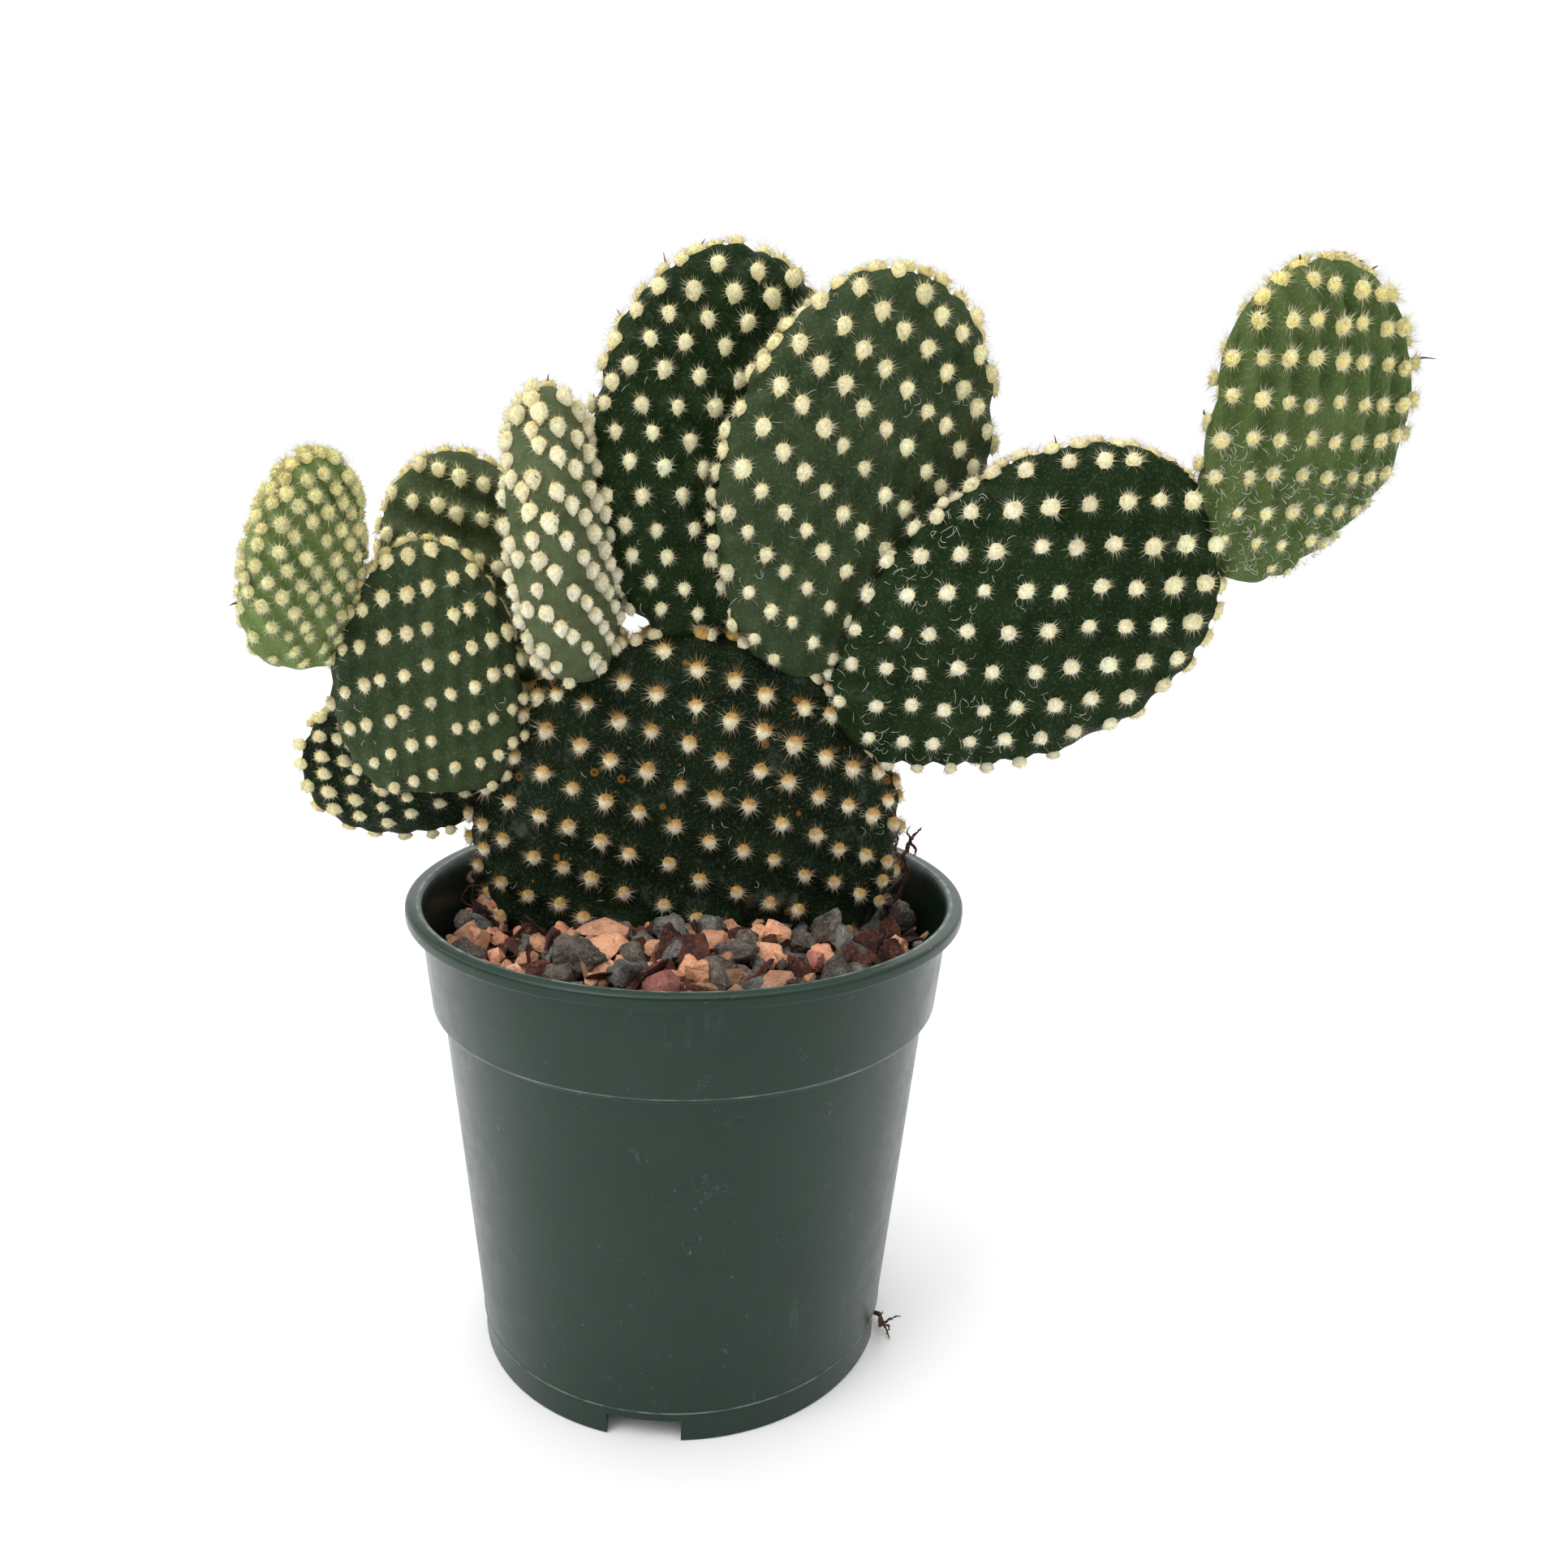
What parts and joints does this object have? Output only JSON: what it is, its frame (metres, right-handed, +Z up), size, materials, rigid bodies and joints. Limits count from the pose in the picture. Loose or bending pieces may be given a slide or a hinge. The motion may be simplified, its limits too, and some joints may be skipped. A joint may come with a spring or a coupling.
{
  "type": "potted paddle cactus",
  "caption": "Paddle cactus with flat oval pads dotted with bristle tufts, growing in a round nursery pot with drain notches, topped with stones and bark chips.",
  "frame": {"origin": "middle of the whole object's footprint, on the surface the pot stands on", "axes": "+Z up along the pot's axis, +X to the right in the view where the main pad faces the viewer, +Y away from that viewer"},
  "size_m": [0.205, 0.108, 0.2126],
  "materials": {
    "pot_plastic": "satin dark green injection-moulded polypropylene",
    "potting_mix": "dark crumbly potting mix",
    "grown_pad": "waxy, dull dark green cactus skin",
    "young_pad": "waxy mid green cactus skin of a young pad",
    "areole_bristle": "cream to golden short bristles in dense tufts",
    "peach_stone": "rough peach-coloured crushed stone",
    "lava_stone": "rough pitted grey-brown lava stone",
    "slate_stone": "rough blue-grey crushed stone",
    "red_stone": "rough dusty red crushed stone",
    "bark_chip": "dark red-brown conifer bark",
    "wood_chip": "split brown wood sliver",
    "dry_root": "dry fibrous brown root"
  },
  "bodies": {
    "root": {"pot": "pot_plastic", "potting_mix": "potting_mix", "main_pad": "grown_pad", "top_back_pad": "grown_pad", "top_front_pad": "grown_pad", "right_pad": "grown_pad", "far_right_pad": "young_pad", "edge_on_pad": "grown_pad", "left_back_pad": "grown_pad", "left_front_pad": "grown_pad", "low_left_pad": "grown_pad", "far_left_pad": "young_pad", "peach_stone_1": "peach_stone", "peach_stone_2": "peach_stone", "peach_stone_3": "peach_stone", "peach_stone_4": "peach_stone", "peach_stone_5": "peach_stone", "peach_stone_6": "peach_stone", "peach_stone_7": "peach_stone", "lava_stone_1": "lava_stone", "lava_stone_2": "lava_stone", "lava_stone_3": "lava_stone", "lava_stone_4": "lava_stone", "lava_stone_5": "lava_stone", "lava_stone_6": "lava_stone", "slate_stone_1": "slate_stone", "slate_stone_2": "slate_stone", "slate_stone_3": "slate_stone", "slate_stone_4": "slate_stone", "slate_stone_5": "slate_stone", "bark_chip_1": "bark_chip", "bark_chip_2": "bark_chip", "bark_chip_3": "bark_chip", "bark_chip_4": "bark_chip", "red_stone_1": "red_stone", "wood_chip_1": "wood_chip", "lava_stone_7": "lava_stone", "peach_stone_8": "peach_stone", "slate_stone_6": "slate_stone", "bark_chip_5": "bark_chip", "lava_stone_8": "lava_stone", "lava_stone_9": "lava_stone", "peach_stone_9": "peach_stone", "slate_stone_7": "slate_stone", "bark_chip_6": "bark_chip", "lava_stone_10": "lava_stone", "lava_stone_11": "lava_stone", "peach_stone_10": "peach_stone", "slate_stone_8": "slate_stone", "bark_chip_7": "bark_chip", "lava_stone_12": "lava_stone", "lava_stone_13": "lava_stone", "peach_stone_11": "peach_stone", "slate_stone_9": "slate_stone", "bark_chip_8": "bark_chip", "lava_stone_14": "lava_stone", "curled_root": "dry_root", "dry_twig": "dry_root", "drain_root": "dry_root"}
  },
  "joints": []
}
